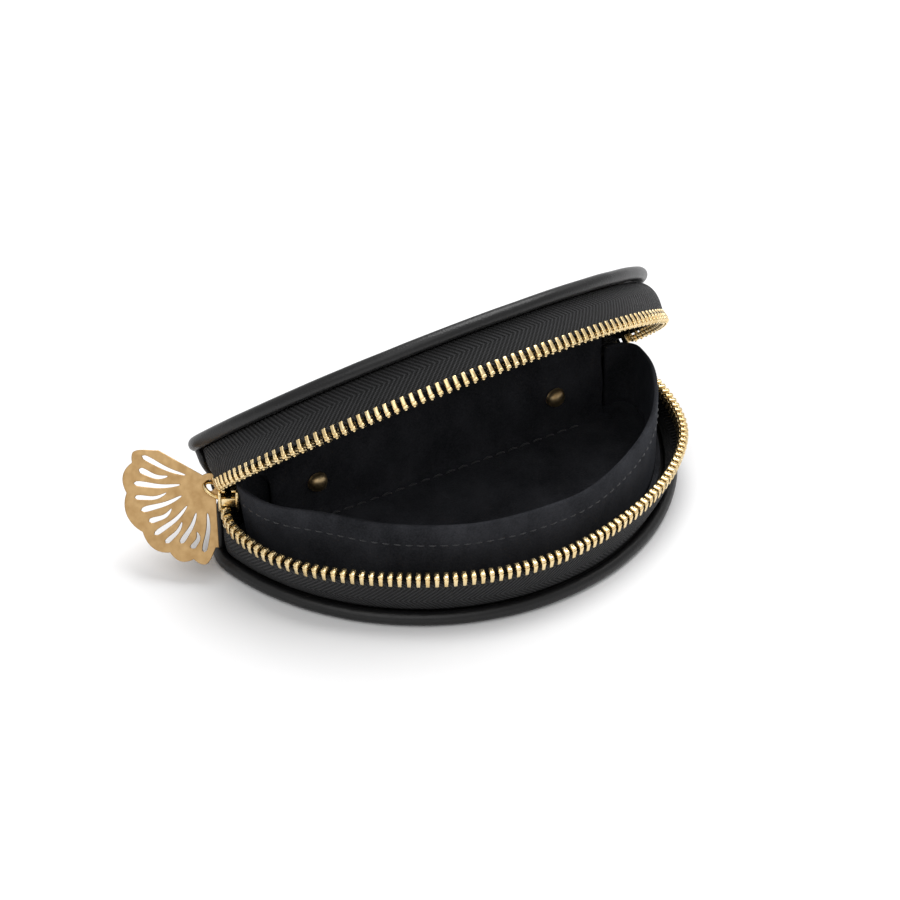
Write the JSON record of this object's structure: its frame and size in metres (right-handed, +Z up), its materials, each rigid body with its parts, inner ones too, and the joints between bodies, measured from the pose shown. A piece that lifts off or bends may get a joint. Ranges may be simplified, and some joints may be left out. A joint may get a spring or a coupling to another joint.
{
  "type": "coin purse",
  "caption": "Half-moon leather coin purse with a brass zip round its curved side, a stand-up suede collar inside and a pierced fan-shaped pull; the lid stands open.",
  "frame": {"origin": "middle of the flat underside of the lower panel", "axes": "+X along the hinge line to the right, -Y towards the curved front, +Z up"},
  "size_m": [0.1336, 0.0694, 0.0624],
  "materials": {
    "leather": "fine-grain black leather, satin",
    "suede": "blue-black suede, matt",
    "board": "bonded leather board",
    "zip_tape": "black herringbone twill tape",
    "zip_brass": "polished brass",
    "antique_brass": "antique brass, dulled",
    "charm_brass": "satin brass"
  },
  "bodies": {
    "base": {"base_cover": "leather", "base_piping": "leather", "base_board": "board", "base_lining": "suede", "collar": "suede", "lower_zip_tape": "zip_tape", "lower_teeth": "zip_brass", "lower_bottom_stop": "zip_brass", "lower_top_stop": "zip_brass", "spine_lower": "leather", "back_lining_lower": "suede", "rivet_left": "antique_brass", "rivet_right": "antique_brass", "rivet_washer_left": "antique_brass", "rivet_washer_right": "antique_brass"},
    "lid": {"lid_cover": "leather", "lid_piping": "leather", "lid_board": "board", "lid_lining": "suede", "lid_wall_lining": "suede", "upper_zip_tape": "zip_tape", "upper_teeth": "zip_brass", "upper_bottom_stop": "zip_brass", "upper_top_stop": "zip_brass", "spine_upper": "leather", "back_lining_upper": "suede"},
    "slider": {"slider_body": "zip_brass", "slider_bail": "zip_brass"},
    "pull": {"pull_charm": "charm_brass"}
  },
  "joints": [
    {"name": "lid_hinge", "type": "hinge", "parent": "base", "child": "lid", "pos_m": [-0.055, 0.0255, 0.01445], "axis": [-0.9996, -0.026, 0.008], "range_deg": [-44, 30]},
    {"name": "slider_run", "type": "hinge", "parent": "base", "child": "slider", "pos_m": [0.0016, 0.026, 0.01445], "axis": [0, 0, 1], "range_deg": [0, 171]},
    {"name": "pull_swing", "type": "hinge", "parent": "slider", "child": "pull", "pos_m": [-0.05953, 0.02451, 0.01715], "axis": [-0.0244, 0.9997, 0], "range_deg": [-4, 60]}
  ]
}
